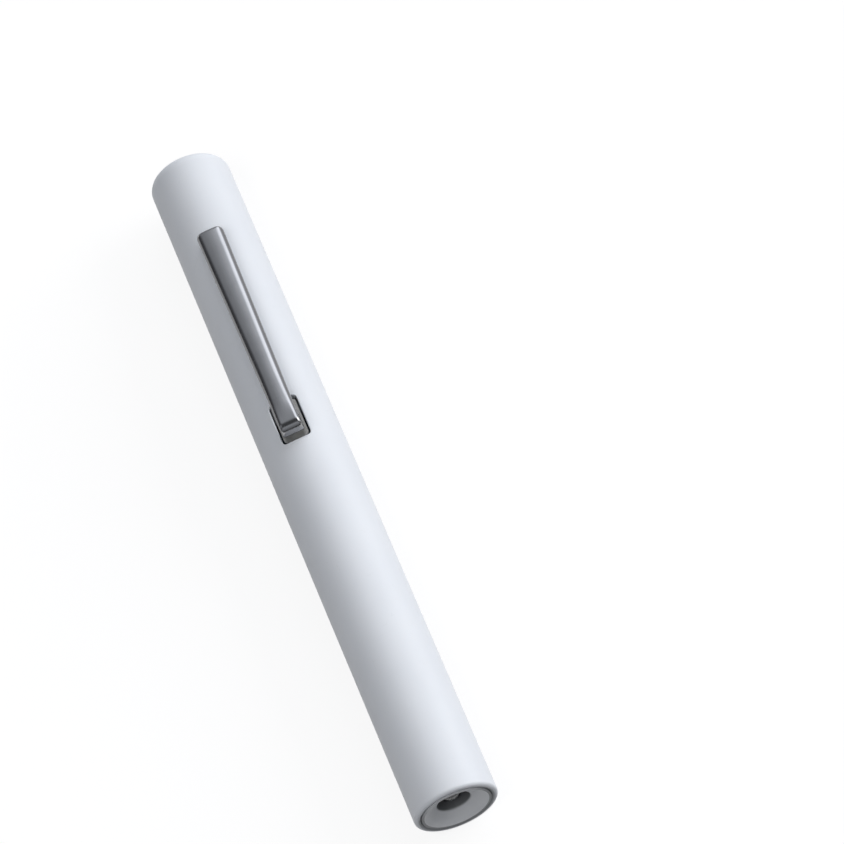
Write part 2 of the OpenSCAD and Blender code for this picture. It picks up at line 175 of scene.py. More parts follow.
# handling marks: soft smears and a few short scratches
def makeHandlingGroup():
    tree, put, out = newGroup("handlingMarks", [("Smear Scale", number, .25), ("Scratch Scale", number, .5),
                                                ("Scratch Width", number, .02)],
                              [("Smear", number), ("Scratch", number)])
    smear = noise(tree, scaled(tree, millimetres(tree), put.outputs["Smear Scale"]), 6.0, Roughness=.65,
                  Distortion=.8)
    tree.links.new(remap(tree, smear, *shown["smears"]), out.inputs["Smear"])
    cellSpot = scaled(tree, millimetres(tree), put.outputs["Scratch Scale"])
    cells = addNode(tree, "ShaderNodeTexVoronoi", {"Vector": cellSpot, "Scale": 1.0},
                    feature="DISTANCE_TO_EDGE")
    line = maths(tree, "LESS_THAN", cells.outputs["Distance"], put.outputs["Scratch Width"])
    breaks = noise(tree, scaled(tree, millimetres(tree), shown["scratchBreakScale"]), 2.0)
    scratch = maths(tree, "MULTIPLY", line, remap(tree, breaks, *shown["scratchBreaks"]))
    tree.links.new(scratch, out.inputs["Scratch"])
    return tree


groups = {"tone": makeToneGroup(), "grain": makeGrainGroup(), "lines": makeLineGroup(),
          "wear": makeWearGroup(), "marks": makeHandlingGroup()}
print("shader groups built:", len(groups))


def useGroup(tree, key, **values):
    node = addNode(tree, "ShaderNodeGroup", node_tree=groups[key])
    for label, value in values.items():
        node.inputs[label.replace("_", " ")].default_value = value
    return node


# what a finish has where it says nothing else
plainLook = {"toneScale": .2, "toneAmount": .6, "smear": .1, "smearScale": .25, "scratchScale": .4,
             "scratchWidth": .012, "scratchAmount": .3, "wearStart": .53, "wearEnd": .66, "wearScale": 2.5,
             "grain": .5, "grainScale": 10.0, "ripple": .5, "rippleScale": .12, "lines": 0.0,
             "lineFineness": 10.0, "lineStretch": .03, "lineRough": 0.0, "bump": .3, "depth": .02,
             "metallic": 0.0, "ior": 1.5, "specular": .5, "coat": 0.0, "coatRough": .12, "transmission": 0.0,
             "glow": 0.0, "glowSpread": (1.0, .9, .8), "glowDepth": .6}


# one finish: tone, grain, lines, marks and worn ridges around one Principled shader
def makeFinish(name, ownLook):
    look = {**plainLook, **ownLook}
    material = bpy.data.materials.new(name)
    material.use_nodes = True
    tree = material.node_tree
    shader = tree.nodes["Principled BSDF"]
    tone = useGroup(tree, "tone", Base=opaque(look["base"]), Shade=opaque(look["shade"]),
                    Scale=look["toneScale"], Amount=look["toneAmount"])
    paint = tone.outputs["Color"]
    marks = useGroup(tree, "marks", Smear_Scale=look["smearScale"], Scratch_Scale=look["scratchScale"],
                     Scratch_Width=look["scratchWidth"])
    if "worn" in look:
        wear = useGroup(tree, "wear", Start=look["wearStart"], End=look["wearEnd"], Scale=look["wearScale"])
        paint = mixColour(tree, wear.outputs["Mask"], paint, opaque(look["worn"]))
    if "scratchTone" in look:
        scratched = maths(tree, "MULTIPLY", marks.outputs["Scratch"], look["scratchAmount"])
        paint = mixColour(tree, scratched, paint, opaque(look["scratchTone"]))
    tree.links.new(paint, shader.inputs["Base Color"])

    grain = useGroup(tree, "grain", Grain_Scale=look["grainScale"], Ripple_Scale=look["rippleScale"],
                     Grain=look["grain"], Ripple=look["ripple"])
    lines = useGroup(tree, "lines", Fineness=look["lineFineness"], Stretch=look["lineStretch"])
    drawn = maths(tree, "MULTIPLY", lines.outputs["Lines"], look["lines"])
    height = maths(tree, "ADD", grain.outputs["Height"], drawn)
    bump = addNode(tree, "ShaderNodeBump", {"Height": height, "Strength": look["bump"],
                                            "Distance": look["depth"] * mm})
    tree.links.new(bump.outputs["Normal"], shader.inputs["Normal"])

    smeared = maths(tree, "MULTIPLY", marks.outputs["Smear"], look["smear"])
    brushed = maths(tree, "MULTIPLY", lines.outputs["Lines"], look["lineRough"])
    rough = maths(tree, "ADD", maths(tree, "ADD", smeared, brushed), look["rough"])
    tree.links.new(rough, shader.inputs["Roughness"])
    plain = {"Metallic": look["metallic"], "IOR": look["ior"], "Specular IOR Level": look["specular"],
             "Coat Weight": look["coat"], "Coat Roughness": look["coatRough"],
             "Transmission Weight": look["transmission"], "Subsurface Weight": look["glow"],
             "Subsurface Radius": look["glowSpread"], "Subsurface Scale": look["glowDepth"] * mm}
    for label, value in plain.items():
        shader.inputs[label].default_value = value
    return material


finishes = {
    "barrelWhite": {"base": (.845, .87, .91), "shade": (.822, .849, .892), "toneScale": .09,
                    "toneAmount": .7, "rough": .40, "smearScale": .12, "grainScale": 7.0,
                    "grain": .35, "ripple": .9, "rippleScale": .10, "bump": .25, "depth": .03,
                    "specular": .2, "glow": .04, "scratchTone": (.62, .64, .67), "scratchAmount": .22,
                    "scratchScale": .16, "scratchWidth": .004},
    "noseGrey": {"base": (.86, .875, .895), "shade": (.80, .815, .84), "toneScale": .3, "toneAmount": .7,
                 "rough": .42, "smear": .08, "grainScale": 9.0, "grain": .6, "ripple": .4,
                 "depth": .03, "specular": .2},
    "clipChrome": {"base": (.565, .57, .585), "shade": (.50, .505, .52), "toneScale": .25, "toneAmount": .5,
                   "metallic": 1.0, "rough": .15, "smear": .08, "smearScale": .35, "lines": .5,
                   "lineFineness": 14.0, "lineStretch": .02, "lineRough": .06, "grainScale": 14.0,
                   "grain": .2, "rippleScale": .35, "bump": .12, "depth": .012,
                   "worn": (.62, .615, .60), "scratchTone": (.42, .42, .43), "scratchAmount": .35,
                   "scratchScale": .35, "scratchWidth": .008},
    "stripTinned": {"base": (.78, .77, .74), "shade": (.64, .62, .57), "toneScale": .5, "toneAmount": .7,
                    "metallic": 1.0, "rough": .32, "smear": .16, "smearScale": .6, "lines": .6,
                    "lineRough": .10, "grain": .4, "bump": .2, "depth": .015, "scratchTone": (.34, .32, .28)},
    "cupNickel": {"base": (.70, .69, .66), "shade": (.58, .57, .54), "toneScale": .5,
                  "metallic": 1.0, "rough": .16, "smear": .12, "smearScale": .5, "grain": .4,
                  "grainScale": 9.0, "bump": .2, "depth": .015, "worn": (.78, .76, .72)},
    "discCopper": {"base": (.33, .21, .155), "shade": (.21, .15, .12), "toneScale": .55, "toneAmount": .9,
                   "metallic": 1.0, "rough": .40, "smear": .18, "smearScale": .7, "grain": .8,
                   "grainScale": 6.0, "ripple": .6, "rippleScale": .4, "bump": .35, "depth": .03,
                   "worn": (.52, .36, .27), "scratchTone": (.46, .31, .22), "scratchAmount": .5,
                   "scratchScale": .7, "scratchWidth": .02},
    "springSteel": {"base": (.55, .55, .56), "shade": (.42, .42, .43), "toneScale": .8, "metallic": 1.0,
                    "rough": .25, "smear": .15, "lines": .5, "lineFineness": 20.0, "bump": .2, "depth": .01},
    "canSteel": {"base": (.56, .56, .57), "shade": (.46, .46, .47), "toneScale": .4, "metallic": 1.0,
                 "rough": .28, "smear": .12, "lines": .6, "lineRough": .08, "bump": .2, "depth": .01},
    "sealCard": {"base": (.62, .58, .48), "shade": (.48, .43, .34), "toneScale": 1.6, "toneAmount": .8,
                 "rough": .8, "smear": .05, "grainScale": 16.0, "grain": .9, "bump": .5, "depth": .04},
    "buttonNickel": {"base": (.66, .65, .63), "shade": (.54, .53, .50), "toneScale": .7, "metallic": 1.0,
                     "rough": .22, "smear": .14, "bump": .2, "depth": .01,
                     "worn": (.76, .74, .70)},
    "bulbGlass": {"base": (.96, .98, .98), "shade": (.92, .95, .95), "toneScale": .3,
                  "transmission": 1.0, "rough": .015, "smear": .03, "ripple": .8, "rippleScale": .4,
                  "grain": .0, "bump": .15, "depth": .01},
    "bulbBrass": {"base": (.66, .50, .25), "shade": (.50, .36, .18), "toneScale": .6, "metallic": 1.0,
                  "rough": .24, "smear": .14, "lines": .3, "bump": .2, "depth": .012,
                  "worn": (.78, .62, .34)},
    "insulatorBlack": {"base": (.025, .025, .03), "shade": (.05, .05, .055), "toneScale": .8, "rough": .22,
                       "smear": .12, "grain": .4, "bump": .2, "depth": .01},
    "solderGrey": {"base": (.54, .54, .55), "shade": (.38, .38, .39), "toneScale": 1.2, "toneAmount": .8,
                   "metallic": 1.0, "rough": .38, "smear": .16, "grainScale": 6.0, "grain": .8, "bump": .4},
    "leadWire": {"base": (.46, .40, .34), "shade": (.34, .30, .26), "toneScale": 1.0, "metallic": 1.0,
                 "rough": .3, "smear": .14, "lines": .5, "lineFineness": 24.0, "bump": .2, "depth": .006},
    "beadGlass": {"base": (.72, .84, .86), "shade": (.60, .74, .78), "toneScale": .8, "transmission": .9,
                  "rough": .06, "smear": .05, "ripple": .8, "rippleScale": .8, "bump": .2, "depth": .01},
    "filamentWire": {"base": (.20, .20, .21), "shade": (.13, .13, .14), "toneScale": 3.0, "metallic": 1.0,
                     "rough": .45, "grainScale": 30.0, "bump": .2, "depth": .003},
}
materials = {name: makeFinish(name, look) for name, look in finishes.items()}


# the colour that a finish gives its shader, to be painted over in places
def openPaint(material):
    tree = material.node_tree
    socket = tree.nodes["Principled BSDF"].inputs["Base Color"]
    return tree, socket, socket.links[0].from_socket


# wrap of a cell: dark film with a pale shoulder and one thin bright ring, the same on both cells
jacketFilm = {"base": (.045, .06, .085), "shade": (.07, .085, .11), "rough": .28, "smear": .12,
              "toneScale": .3, "grain": .4, "bump": .2, "depth": .01, "coat": .4, "cellStart": 7.7,
              "cellLength": 44.5, "shoulderShare": .80, "shoulderTone": (.46, .47, .48),
              "ringShare": .785, "ringHalfShare": .008, "ringTone": (.72, .72, .70)}


def makeJacketFilm(look):
    material = makeFinish("jacketFilm", look)
    tree, socket, paint = openPaint(material)
    station = maths(tree, "SUBTRACT", splitPoint(tree, millimetres(tree))["X"], tailX + look["cellStart"])
    along = maths(tree, "FRACT", maths(tree, "DIVIDE", station, look["cellLength"]))
    shoulder = maths(tree, "GREATER_THAN", along, look["shoulderShare"])
    fromRing = maths(tree, "ABSOLUTE", maths(tree, "SUBTRACT", along, look["ringShare"]))
    ring = maths(tree, "LESS_THAN", fromRing, look["ringHalfShare"])
    paint = mixColour(tree, shoulder, paint, opaque(look["shoulderTone"]))
    paint = mixColour(tree, ring, paint, opaque(look["ringTone"]))
    tree.links.new(paint, socket)
    return material


materials["jacketFilm"] = makeJacketFilm(jacketFilm)

# painted dark reflection and shade in the bends of the clip, at its root and on the front of its roll, set by
# which way the surface faces, between its polished top and its flat sides
clipFoldShade = {"tone": (.10, .10, .105), "amount": .85, "side": (.50, .70), "root": (.30, .45),
             "flat": (.9995, .99), "roll": (.5, .75), "rollAmount": .6}


def paintFoldShade(material, look):
    tree, socket, paint = openPaint(material)
    facing = splitPoint(tree, addNode(tree, "ShaderNodeNewGeometry").outputs["Normal"])
    side = maths(tree, "ABSOLUTE", facing["Y"])
    root = maths(tree, "MULTIPLY", facing["X"], -1.0)
    band = maths(tree, "MULTIPLY", remap(tree, facing["X"], *look["roll"]), look["rollAmount"])
    for slope, edges in ((side, look["side"]), (root, look["root"])):
        bend = maths(tree, "MULTIPLY", remap(tree, slope, *edges), remap(tree, slope, *look["flat"]))
        band = maths(tree, "MAXIMUM", band, bend)
    # the band is painted dark reflection and shade mixed into the chrome's colour
    dark = maths(tree, "MULTIPLY", band, look["amount"])
    tree.links.new(mixColour(tree, dark, paint, opaque(look["tone"])), socket)


paintFoldShade(materials["clipChrome"], clipFoldShade)
print("finishes built:", len(materials))


# mesh helpers
def roundedOutline(corners, steps=6):
    outline = []
    for i, (radius, station, rounding) in enumerate(corners):
        here = Vector((radius, station))
        if rounding == 0:
            outline.append((radius, station))
            continue
        back = (Vector(corners[i - 1][:2]) - here).normalized()
        ahead = (Vector(corners[(i + 1) % len(corners)][:2]) - here).normalized()
        half = back.angle(ahead) / 2
        centre = here + (back + ahead).normalized() * rounding / math.sin(half)
        first = here + back * rounding / math.tan(half) - centre
        last = here + ahead * rounding / math.tan(half) - centre
        start = math.atan2(first.y, first.x)
        turn = (math.atan2(last.y, last.x) - start + math.pi) % fullTurn - math.pi
        for k in range(steps + 1):
            angle = start + turn * k / steps
            outline.append((centre.x + rounding * math.cos(angle), centre.y + rounding * math.sin(angle)))
    return outline


def joinRings(bm, first, second):
    for k in range(max(len(first), len(second))):
        ring = []
        for vert in (first[k % len(first)], first[(k + 1) % len(first)],
                     second[(k + 1) % len(second)], second[k % len(second)]):
            if vert not in ring:
                ring.append(vert)
        if len(ring) > 2:
            bm.faces.new(ring)


def joinAll(bm, rings):
    for first, second in zip(rings, rings[1:]):
        joinRings(bm, first, second)


def lathe(bm, outline, steps, closed=True):
    turns = [fullTurn * k / steps for k in range(steps)]
    rings = []
    for radius, station in outline:
        if radius < 1e-6:
            rings.append([bm.verts.new(place(station, 0, 0))])
        else:
            rings.append([bm.verts.new(place(station, radius * math.sin(turn), radius * math.cos(turn)))
                          for turn in turns])
    joinAll(bm, rings)
    if closed:
        joinRings(bm, rings[-1], rings[0])


# round wire swept along a path of points
def sweepWire(bm, path, radius, sides):
    turns = [fullTurn * k / sides for k in range(sides)]
    rings = []
    for i, point in enumerate(path):
        ahead = path[min(i + 1, len(path) - 1)] - path[max(i - 1, 0)]
        ahead.normalize()
        side = ahead.cross(Vector((1, 0, 0)) if abs(ahead.x) < .9 else Vector((0, 0, 1))).normalized()
        top = side.cross(ahead)
        rings.append([bm.verts.new(point + (side * math.cos(turn) + top * math.sin(turn)) * radius * mm)
                      for turn in turns])
    joinAll(bm, rings)
    bm.faces.new(rings[0])
    bm.faces.new(list(reversed(rings[-1])))


def toObject(name, bm):
    bmesh.ops.recalc_face_normals(bm, faces=bm.faces)
    mesh = bpy.data.meshes.new(name)
    bm.to_mesh(mesh)
    bm.free()
    piece = bpy.data.objects.new(name, mesh)
    bpy.context.collection.objects.link(piece)
    return piece


def smoothOver(piece, angle=40):
    piece.data.polygons.foreach_set("use_smooth", [True] * len(piece.data.polygons))
    piece.data.set_sharp_from_angle(angle=math.radians(angle))


def weighNormals(piece):
    weight = piece.modifiers.new("weightedNormals", "WEIGHTED_NORMAL")
    weight.keep_sharp = True


def dress(piece, bodyName, slotName, finish, *nodes):
    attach(piece, bodyName)
    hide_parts(*nodes)
    piece.data.materials.clear()
    piece.data.materials.append(materials[finish])


# barrel: lathed shell, then window, strip groove and tongue slot cut out
barrel = {"radius": 6.5, "bore": 5.45, "length": 118.7, "tailHole": 5.0, "tailWall": 1.5, "tailEdge": .4,
          "shoulder": 2.1, "shoulderSteps": 14, "mouthRound": .55, "mouthSteps": 12, "steps": 160,
          "rearRows": (5, 9, 13, 15.5, 18.5, 24, 30, 36, 41, 44, 45.6), "windowRows": 19, "windowRowGap": .5,
          "frontRows": (57.5, 60, 66, 74, 84, 94, 104, 112), "boreRows": (110, 100, 80, 58, 45, 20),
          "windowStart": 48.2, "windowEnd": 55.5, "windowHalf": 2.3, "windowCorner": .6, "cornerSteps": 8,
          "windowEdge": .22, "edgeTurn": 76, "edgeSteps": 6, "edgeRun": .3, "cutFrom": 3.5, "cutPast": 1.5,
          "grooveHalf": 1.6, "grooveTop": 5.7, "grooveInset": .1, "grooveEnd": 105.8,
          "slotHalf": 1.25, "slotStart": 16.15, "slotEnd": 16.85, "slotTop": 7.5, "smoothAngle": 35}


def barrelOutline(size):
    shoulder, mouth = size["shoulder"], size["mouthRound"]
    centre = size["radius"] - shoulder
    first = math.asin((size["tailHole"] - centre) / shoulder)
    outline = []
    for k in range(size["shoulderSteps"] + 1):
        angle = first + (quarterTurn - first) * k / size["shoulderSteps"]
        outline.append((centre + shoulder * math.sin(angle), shoulder - shoulder * math.cos(angle)))
    windowRows = [size["windowStart"] + size["windowRowGap"] * k for k in range(size["windowRows"])]
    outline += [(size["radius"], row) for row in (*size["rearRows"], *windowRows, *size["frontRows"])]
    centre = size["radius"] - mouth
    last = math.acos((size["bore"] - centre) / mouth)
    for k in range(size["mouthSteps"] + 1):
        angle = last * k / size["mouthSteps"]
        outline.append((centre + mouth * math.cos(angle), size["length"] - mouth + mouth * math.sin(angle)))
    outline += [(size["bore"], row) for row in (*size["boreRows"], size["tailWall"])]
    outline += [(size["tailHole"], size["tailWall"]), (size["tailHole"], size["tailEdge"])]
    return outline


# rounded rectangle seen from above, grown by an offset
def windowLoop(size, offset):
    corner = size["windowCorner"] + offset
    half = size["windowHalf"] + offset
    low = size["windowStart"] - offset
    high = size["windowEnd"] + offset
    steps = size["cornerSteps"]
    loop = []
    for station, across, start in ((high - corner, half - corner, 90), (high - corner, corner - half, 0),
                                   (low + corner, corner - half, -90), (low + corner, half - corner, -180)):
        for k in range(steps + 1):
            angle = math.radians(start - 90 * k / steps)
            loop.append((station + corner * math.cos(angle), across + corner * math.sin(angle)))
    return loop


# the cutter flares like a rounded edge where it meets the skin of the barrel
def windowCutter(size):
    edge, slope = size["windowEdge"], math.radians(size["edgeTurn"])
    rows = []
    for k in range(size["edgeSteps"] + 1):
        angle = slope * k / size["edgeSteps"]
        rows.append((edge * (1 - math.cos(angle)), edge * (1 - math.sin(angle))))
    offset, depth = rows[-1]
    rows.append((offset + size["edgeRun"] * math.sin(slope), depth - size["edgeRun"] * math.cos(slope)))
    bm = bmesh.new()
    foot = [place(station, across, size["cutFrom"]) for station, across in windowLoop(size, 0)]
    rings = [[bm.verts.new(spot) for spot in foot]]
    for offset, depth in rows:
        ring = []
        for station, across in windowLoop(size, offset):
            skin = math.sqrt(size["radius"] ** 2 - across ** 2)
            ring.append(bm.verts.new(place(station, across, skin - depth)))
        rings.append(ring)
    rings.append([bm.verts.new(vert.co + Vector((0, 0, size["cutPast"] * mm))) for vert in rings[-1]])
    joinAll(bm, rings)
    bm.faces.new(rings[0])
    bm.faces.new(rings[-1])
    return toObject("windowCutter", bm)


def blockCutter(name, start, end, half, low, high):
    bm = bmesh.new()
    corners = [bm.verts.new(place(station, across, up))
               for station in (start, end) for across in (-half, half) for up in (low, high)]
    for face in ((0, 1, 3, 2), (4, 6, 7, 5), (0, 4, 5, 1), (2, 3, 7, 6), (0, 2, 6, 4), (1, 5, 7, 3)):
        bm.faces.new([corners[k] for k in face])
    return toObject(name, bm)


def cutAway(piece, cutters):
    for cutter in cutters:
        cut = piece.modifiers.new(cutter.name, "BOOLEAN")
        cut.operation = "DIFFERENCE"
        cut.solver = "EXACT"
        cut.object = cutter
    built = bpy.data.meshes.new_from_object(piece.evaluated_get(bpy.context.evaluated_depsgraph_get()))
    piece.modifiers.clear()
    piece.data = built
    for cutter in cutters:
        bpy.data.objects.remove(cutter)


def makeBarrel(size):
    bm = bmesh.new()
    lathe(bm, barrelOutline(size), size["steps"])
    piece = toObject("barrelShell", bm)
    groove = blockCutter("grooveCutter", size["tailWall"] + size["grooveInset"], size["grooveEnd"],
                         size["grooveHalf"], size["cutFrom"], size["grooveTop"])
    slot = blockCutter("slotCutter", size["slotStart"], size["slotEnd"], size["slotHalf"], size["cutFrom"],
                       size["slotTop"])
    cutAway(piece, [windowCutter(size), groove, slot])
    smoothOver(piece, size["smoothAngle"])
    weighNormals(piece)
    dress(piece, "housing", "barrel_plastic", "barrelWhite", "barrel")
    return piece


barrelShell = makeBarrel(barrel)
print("barrel built:", len(barrelShell.data.polygons), "faces")

# nose with its dish and lens hole, and painted shade around the mouth
nose = {"radius": 5.42, "start": 105.8, "end": 118.7, "dish": 4.97, "hole": 2.6, "dishBottom": 117.4,
        "holeStart": 114.05, "chamber": 4.3, "backRound": .15, "rimRound": .1, "dishRound": .16,
        "holeRound": .14, "throatRound": .12, "chamberRound": .1, "steps": 128,
        "holeShadeTone": (.16, .165, .17), "holeShadeAmount": .9, "holeShadeDepth": (.25, -.35), "holeShadeReach": (.35, -.05),
        "rimShadeTone": (.20, .205, .215), "rimShadeAmount": .8, "rimReach": (-.02, .12), "lipRadius": (6.1, 5.7),
        "lipDepth": (-.8, -.5), "shadeHeight": (4.6, .6), "shadeLeast": .3}


def axisRadius(tree, spot):
    rise = maths(tree, "SUBTRACT", spot["Z"], axisHeight)
    squares = [maths(tree, "MULTIPLY", reach, reach) for reach in (rise, spot["Y"])]
    return maths(tree, "SQRT", maths(tree, "ADD", *squares))


# ramp from one offset of a place to another
def rampAt(tree, value, spot, offsets):
    return remap(tree, value, spot + offsets[0], spot + offsets[1])


# painted shade, stronger on the lower part of the rim
def rimShadeStrength(tree, spot, size):
    high, low = size["shadeHeight"]
    lower = remap(tree, spot["Z"], axisHeight + high, axisHeight + low, size["shadeLeast"], 1.0)
    return maths(tree, "MULTIPLY", lower, size["rimShadeAmount"])


# painted shade on the inner half of the barrel's lip, stronger towards the bottom
def paintLipShade(material, size):
    tree, socket, paint = openPaint(material)
    spot = splitPoint(tree, millimetres(tree))
    lip = maths(tree, "MULTIPLY", remap(tree, axisRadius(tree, spot), *size["lipRadius"]),
                rampAt(tree, spot["X"], tailX + size["end"], size["lipDepth"]))
    lipShade = maths(tree, "MULTIPLY", lip, rimShadeStrength(tree, spot, size))
    tree.links.new(mixColour(tree, lipShade, paint, opaque(size["rimShadeTone"])), socket)


# painted shade darkens the lens hole against the dish around it, and painted shade darkens the rim where it
# meets the barrel
def markMouth(material, size):
    tree, socket, paint = openPaint(material)
    spot = splitPoint(tree, millimetres(tree))
    radius = axisRadius(tree, spot)
    # painted shade deep in the lens hole
    deep = maths(tree, "MULTIPLY", rampAt(tree, spot["X"], tailX + size["dishBottom"], size["holeShadeDepth"]),
                 size["holeShadeAmount"])
    near = maths(tree, "MULTIPLY", rampAt(tree, radius, size["hole"], size["holeShadeReach"]), deep)
    paint = mixColour(tree, near, paint, opaque(size["holeShadeTone"]))
    # painted shade on the dish's rim next to the barrel, stronger towards the bottom
    rim = maths(tree, "MULTIPLY", rampAt(tree, radius, size["dish"], size["rimReach"]),
                rimShadeStrength(tree, spot, size))
    tree.links.new(mixColour(tree, rim, paint, opaque(size["rimShadeTone"])), socket)


def makeNose(size):
    bm = bmesh.new()
    lathe(bm, roundedOutline([
        (size["chamber"], size["start"], size["backRound"]),
        (size["radius"], size["start"], size["backRound"]),
        (size["radius"], size["end"], size["rimRound"]), (size["dish"], size["end"], size["dishRound"]),
        (size["hole"], size["dishBottom"], size["holeRound"]),
        (size["hole"], size["holeStart"], size["throatRound"]),
        (size["chamber"], size["holeStart"], size["chamberRound"])]), size["steps"])
    piece = toObject("noseDish", bm)
    smoothOver(piece)
    dress(piece, "housing", "nose_plastic", "noseGrey", "nose")


markMouth(materials["noseGrey"], nose)
paintLipShade(materials["barrelWhite"], nose)
makeNose(nose)

# tail contact: nickel cup with a rolled ring, copper disc with a slightly crowned face
tailCup = {"radius": 4.4, "wall": .4, "proud": .45, "flange": 5.35, "flangeStart": 1.5, "flangeEnd": 1.9,
           "floorStart": .3, "floorEnd": .7, "flangeRound": .1, "skirtRound": .08, "cornerRound": .12,
           "seatRound": .1, "ringRound": .18, "steps": 112}
tailDisc = {"radius": 3.96, "face": -.7, "seat": .3, "seatEdge": .1, "edge": .16, "edgeSteps": 6,
            "crown": .05, "crownSteps": 8, "steps": 112}


def makeTailCup(size):
    inner = size["radius"] - size["wall"]
    flange = size["flangeRound"]
    bm = bmesh.new()
    lathe(bm, roundedOutline([
        (size["radius"], size["flangeStart"], flange), (size["flange"], size["flangeStart"], flange),
        (size["flange"], size["flangeEnd"], flange), (inner, size["flangeEnd"], size["skirtRound"]),
        (inner, size["floorEnd"], size["cornerRound"]), (0, size["floorEnd"], 0), (0, size["floorStart"], 0),
        (inner, size["floorStart"], size["seatRound"]), (inner, -size["proud"], size["ringRound"]),
        (size["radius"], -size["proud"], size["ringRound"])]), size["steps"])
    piece = toObject("tailRing", bm)
    smoothOver(piece)
    dress(piece, "housing", "cup_nickel", "cupNickel", "tail_cup")


def makeTailDisc(size):
    edge, seatEdge = size["edge"], size["seatEdge"]
    flat = size["radius"] - edge
    rim = size["face"] + size["crown"]
    outline = [(0, size["seat"]), (size["radius"] - seatEdge, size["seat"]),
               (size["radius"], size["seat"] - seatEdge)]
    for k in range(size["edgeSteps"] + 1):
        angle = quarterTurn * k / size["edgeSteps"]
        outline.append((flat + edge * math.cos(angle), rim + edge - edge * math.sin(angle)))
    for k in range(1, size["crownSteps"] + 1):
        share = 1 - k / size["crownSteps"]
        outline.append((flat * share, size["face"] + size["crown"] * share ** 2))
    bm = bmesh.new()
    lathe(bm, outline, size["steps"], closed=False)
    piece = toObject("tailButton", bm)
    smoothOver(piece)
    dress(piece, "housing", "disc_copper", "discCopper", "tail_disc")


makeTailCup(tailCup)
makeTailDisc(tailDisc)
print("nose and tail contact built")

# clip: one folded sheet that narrows to its tip, with a closed root and a rolled tip
clip = {"start": 16.3, "runStart": 16.7, "tip": 53.75, "rootHalf": 2.2, "tipHalf": 1.7, "top": 8.8,
        "crown": .26, "crownFade": 4, "thickness": .4, "fold": .9, "side": .4, "rollShoulder": .6,
        "easeFrom": 44.0, "easeTo": 53.75, "rollRadius": 1.55, "rollTurn": 270, "shoulderTurn": 150,
        "saddle": 6.6, "tongueHalf": 1.1, "tongueBottom": 5.75, "hingeStation": 16.5, "hingeUp": 6.1,
        "rise": 1.15, "edge": .07, "edgeSegments": 2, "sharpAngle": 50, "topBand": .05,
        "sideSteps": 14, "cornerSteps": 6, "tongueSteps": 2, "rollSteps": 30,
        "rows": (53.2, 52.7, 52.2, 51.7, 51.2, 50.8, 50.4, 49.5, 48, 45, 42, 39, 36, 33, 30, 27, 24, 21, 19,
                 18.2)}


def clamp(value):
    return min(max(value, 0), 1)


def clipHalf(size, station):
    along = clamp((station - size["runStart"]) / (size["tip"] - size["runStart"]))
    return size["rootHalf"] + (size["tipHalf"] - size["rootHalf"]) * along


# radius of the fold and depth of the straight side, which run out into the shoulders of the roll
def clipFold(size, station):
    ease = clamp((station - size["easeFrom"]) / (size["easeTo"] - size["easeFrom"]))
    ease = ease * ease * (3 - 2 * ease)
    return size["fold"] + (size["rollShoulder"] - size["fold"]) * ease, size["side"] * (1 - ease)


def clipInset(size, station):
    return clipHalf(size, station) - clipFold(size, station)[0]


# where the end plate starts to turn down, and its half width there
def clipRoot(size):
    rootLine = size["start"] + size["fold"]
    return rootLine, clipInset(size, rootLine)


# lines along the clip, as shares of its flat half width, with the tongue between the inner ones
def clipShares(size):
    neck = size["tongueHalf"] / clipRoot(size)[1]
    return (1, neck, neck / 2, 0, -neck / 2, -neck, -1)


# how far out and how far down the folded side has gone, at each step of its length
def sideReach(size, fold, straight):
    reach = []
    for k in range(size["sideSteps"] + 1):
        run = k / size["sideSteps"] * (fold * quarterTurn + straight)
        turn = min(run / fold, quarterTurn)
        reach.append((fold * math.sin(turn), fold * (1 - math.cos(turn)) + run - turn * fold))
    return reach


# the top is slightly crowned, and the whole sheet turns up to where the spring leaves it
def clipPlace(size, station, across, up):
    if station < size["tip"]:
        above = clamp((up - size["saddle"]) / (size["top"] - size["fold"] - size["side"] - size["saddle"]))
        fade = min(1, (size["tip"] - station) / size["crownFade"])
        up -= size["crown"] * above * (across / clipHalf(size, station)) ** 2 * fade
    rise = math.radians(size["rise"])
    ahead, over = station - size["hingeStation"], up - size["hingeUp"]
    return place(size["hingeStation"] + ahead * math.cos(rise) - over * math.sin(rise), across,
                 size["hingeUp"] + ahead * math.sin(rise) + over * math.cos(rise))


# vertices are shared where two parts of the sheet meet
def sheetTools(bm, size):
    spots = {}

    def vertAt(station, across, up):
        key = (round(station, 4), round(across, 4), round(up, 4))
        if key not in spots:
            spots[key] = bm.verts.new(clipPlace(size, station, across, up))
        return spots[key]

    def quad(*verts):
        corners = [vert for i, vert in enumerate(verts) if vert not in verts[:i]]
        if len(corners) > 2:
            bm.faces.new(corners)

    return vertAt, quad


